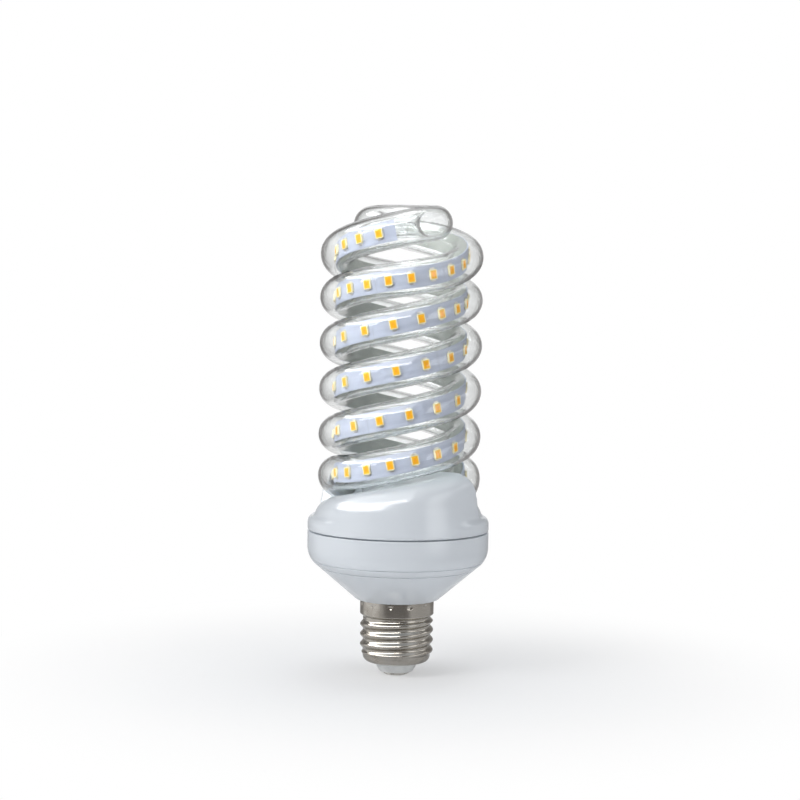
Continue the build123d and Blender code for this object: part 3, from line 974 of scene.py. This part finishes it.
def filledShoulder(points, edges):  # lays skirt, rounding and wall along one slope at front and back
    radius = np.hypot(points[:, 0], points[:, 1])
    height = points[:, 2] - seamHeight
    start, finish = cover["fillFrom"], cover["fillTo"]
    bend, bendFrom, ledge = cover["round"], cover["roundFrom"], cover["ledge"]
    corner = math.acos((bend - ledge) / bend)
    turn = np.clip(np.arctan2(height - bendFrom, radius - (rimRadius - bend)), 0, corner)
    wallFoot = bendFrom + bend * math.sin(corner)
    onWall = height > wallFoot
    run = np.where(height < bendFrom, height, bendFrom + bend * turn)
    run = np.where(onWall, bendFrom + bend * corner + height - wallFoot, run) - start
    total = bendFrom + bend * corner + finish - wallFoot - start
    share = np.clip(run / total, 0, 1)
    inside = np.where(height < cover["skirtTop"], cover["skirtInside"], cover["wallInside"])
    outside = radius > inside
    inZone = outside & (height > start) & (height < finish)
    softFrom, softTo = cover["softFrom"], cover["softTo"]
    turned = np.clip((abs(points[:, 0]) / radius - softFrom) / (softTo - softFrom), 0, 1)
    soft = eased(turned) * inZone
    behind = np.where(onWall, np.minimum(radius - rimRadius + ledge, 0), 0)
    standing = rimRadius - ledge * share + behind
    moved = radius + soft * (standing - radius)
    points[:, :2] *= (moved / radius)[:, None]
    points[:, 2] += soft * (start + (finish - start) * share - height)
    loose = cover["fillShare"] * turned * outside * (height > start / 2)
    for _ in range(cover["fillRounds"]):
        points = smoothed(points, edges, loose)
    return points


def makeCover(finish):
    points, edges, faces = remeshed(nodes["upper_cover"])
    everywhere = np.ones(len(points))
    for _ in range(cover["rounds"]):
        points = smoothed(points, edges, cover["shrink"] * everywhere)
        points = smoothed(points, edges, cover["grow"] * everywhere)
    points = filledShoulder(points - cover["swell"] * outwardNormals(points, faces), edges)
    radius = np.hypot(points[:, 0], points[:, 1])
    low = (seamHeight + cover["jointReach"] - points[:, 2]) / cover["jointReach"]
    points[:, 2] += housing["seamGap"] * np.clip(low, 0, 1) * (radius > cover["jointInside"])
    addPiece("softCover", points, faces, finish, "white_plastic", ["upper_cover"], cover["sharp"])
    return len(faces)


whitePlastic = makeFinish("whitePlastic", paintPlastic)
makeHousing(whitePlastic)
print("housing and cover made,", makeCover(whitePlastic), "faces in the cover")

# Studio: pale floor, soft lamps and a white surround with grey flags for glass and metal
studio = {
    "floorRadius": 0.9,
    "floorSides": 96,
    "fadeFrom": 0.03,
    "fadeTo": 0.17,
    "thin": 0.4,  # share of white in the floor even at its middle
    "floorColour": (0.92, 0.925, 0.93, 1),
    "speckScale": 300,
    "speckTone": 0.97,
    "floorRoughness": (0.7, 0.1),
    "ambient": (0.34, 0.35, 0.37, 1),
    "white": (1, 1, 1, 1),
    "lamps": (  # name, place, width, watts
        ("key", (-0.50, -0.40, 0.44), 0.34, 2.5),
        ("fill", (0.55, -0.40, 0.20), 0.40, 0.7),
        ("top", (0.05, 0.10, 0.70), 0.40, 1.3),
    ),
    "aim": (0, 0, 0.085),
    "levels": (  # brightness of the surround, from straight below to straight above
        (0.0, 0.75),
        (0.40, 0.80),
        (0.50, 0.98),
        (0.58, 0.95),
        (0.70, 0.5),
        (0.82, 0.42),
        (0.94, 0.95),
    ),
    "flagColour": (0.10, 0.09, 0.085, 1),
    "flagDark": {"corner": 0.5, "rear": 0.75, "front": 0.9, "right": 0.5},
    "cornerBand": (0, 0.16, 0.22),
    "rearBand": (0.5, 0.22, 0.12),
    "rearRange": (0.3, 0.6),
    "frontRange": (0.50, 0.85),
    "rightRange": (0.45, 0.8),
    "boxes": (  # soft boxes as glass, metal and gloss mirror them: sideways, height, strength
        ((-0.46, 0.54), (0.64, 0.13), 4.0),
        ((-0.46, 0.54), (0.92, 0.17), 2.4),
        ((-0.35, 0.45), (0.565, 0.015), 12.0),
        ((0.74, 0.12), (0.25, 0.30), 1.4),
    ),
    "boxEdges": (0.05, 0.04),
    "boxRear": 0.45,
    "boxRearEdge": 0.1,
    "bounces": 32,
}
camera = {"place": (0, -0.700, 0.1418), "lens": 87.96, "tilt": 3.49, "roll": 0.87, "near": 0.01}


def addFloor():
    mesh = bpy.data.meshes.new("floor")
    shape = bmesh.new()
    sides, radius = studio["floorSides"], studio["floorRadius"]
    bmesh.ops.create_circle(shape, cap_ends=True, segments=sides, radius=radius)
    shape.to_mesh(mesh)
    shape.free()
    finish = makeFinish("paleFloor", paintFloor)
    finish.cycles.emission_sampling = "NONE"
    mesh.materials.append(finish)
    floor = bpy.data.objects.new("floor", mesh)
    bpy.context.scene.collection.objects.link(floor)


def mirroredRay(path):  # rays that see the surround by way of glass, metal or gloss
    return path.other("Is Glossy Ray").biggest(path.other("Is Transmission Ray"))


def paintFloor(w):  # fades to white from above, and hides nothing from below
    place = objectPlace(w)
    away = w.node("ShaderNodeVectorMath", {"operation": "LENGTH"}, {0: place}, out="Value")
    speck = place.noise(studio["speckScale"], 3)
    low = tuple(studio["speckTone"] * level for level in studio["floorColour"])
    shade = speck.colours(low, studio["floorColour"])
    rough, more = studio["floorRoughness"]
    matt = principled(w, colour=shade, roughness=rough + more * speck)
    edge = away.smooth(studio["fadeFrom"], studio["fadeTo"])
    fade = studio["thin"] + (1 - studio["thin"]) * edge
    path = w.node("ShaderNodeLightPath", out="Is Camera Ray")
    below = w.node("ShaderNodeNewGeometry", out="Backfacing")
    white = w.node("ShaderNodeEmission", {}, {"Color": studio["white"]})
    above = mixed(w, fade * path * (1 - below), matt, white)
    clear = (fade * mirroredRay(path)).biggest(path * below)
    return mixed(w, clear, above, w.node("ShaderNodeBsdfTransparent"))


def background(w, colour, strength=1.0):
    return w.node("ShaderNodeBackground", {}, {"Color": colour, "Strength": strength})


def addWorld():
    world = bpy.data.worlds.new("studio")
    bpy.context.scene.world = world
    world.use_nodes = True
    world.node_tree.nodes.clear()
    w = Wire(world.node_tree)
    x = splitPlace(w, "Generated")
    y = x.other("Y")
    z = x.other("Z")
    level = w.node("ShaderNodeValToRGB", {"stops": studio["levels"]}, {0: 0.5 + 0.5 * z})
    flags = {
        "corner": abs(abs(x) - abs(y)).band(*studio["cornerBand"]),
        "rear": abs(x).band(*studio["rearBand"]) * y.smooth(*studio["rearRange"]),
        "front": (0 - y).smooth(*studio["frontRange"]),
        "right": x.smooth(*studio["rightRange"]),
    }
    dark = 0
    for name, flag in flags.items():
        dark = (studio["flagDark"][name] * flag).biggest(dark)
    path = w.node("ShaderNodeLightPath", out="Is Camera Ray")
    shade = dark * (0.5 + 0.5 * path.other("Is Glossy Ray"))
    surround = background(w, shade.colours(level, studio["flagColour"]))
    sideEdge, heightEdge = studio["boxEdges"]
    for (sideways, half), (height, reach), strength in studio["boxes"]:
        face = x.band(sideways, half, sideEdge) * z.band(height, reach, heightEdge)
        face = face * (studio["boxRear"] - y).smooth(0, studio["boxRearEdge"])
        surround = mixed(w, face, surround, background(w, studio["white"], strength))
    lit = mixed(w, mirroredRay(path), background(w, studio["ambient"]), surround)
    shown = mixed(w, path, lit, background(w, studio["white"]))
    w.node("ShaderNodeOutputWorld", {}, {"Surface": shown})


def addLamps():
    for name, place, width, watts in studio["lamps"]:
        light = bpy.data.lights.new(name, "AREA")
        light.shape = "SQUARE"
        light.size = width
        light.energy = watts
        lamp = bpy.data.objects.new(name, light)
        lamp.location = place
        lamp.visible_glossy = False
        ahead = Vector(studio["aim"]) - Vector(place)
        lamp.rotation_euler = ahead.to_track_quat("-Z", "Y").to_euler()
        bpy.context.scene.collection.objects.link(lamp)


def addCamera():
    data = bpy.data.cameras.new("camera")
    data.lens = camera["lens"]
    data.clip_start = camera["near"]
    eye = bpy.data.objects.new("camera", data)
    aim = Matrix.Rotation(math.radians(90 - camera["tilt"]), 4, "X")
    aim = aim @ Matrix.Rotation(math.radians(camera["roll"]), 4, "Z")
    eye.matrix_world = Matrix.Translation(camera["place"]) @ aim
    bpy.context.scene.collection.objects.link(eye)
    bpy.context.scene.camera = eye


addFloor()
addWorld()
addLamps()
addCamera()
scene = bpy.context.scene
scene.view_settings.view_transform = "Standard"
scene.cycles.max_bounces = studio["bounces"]
scene.cycles.transmission_bounces = studio["bounces"]
scene.cycles.transparent_max_bounces = studio["bounces"]
print("studio set")
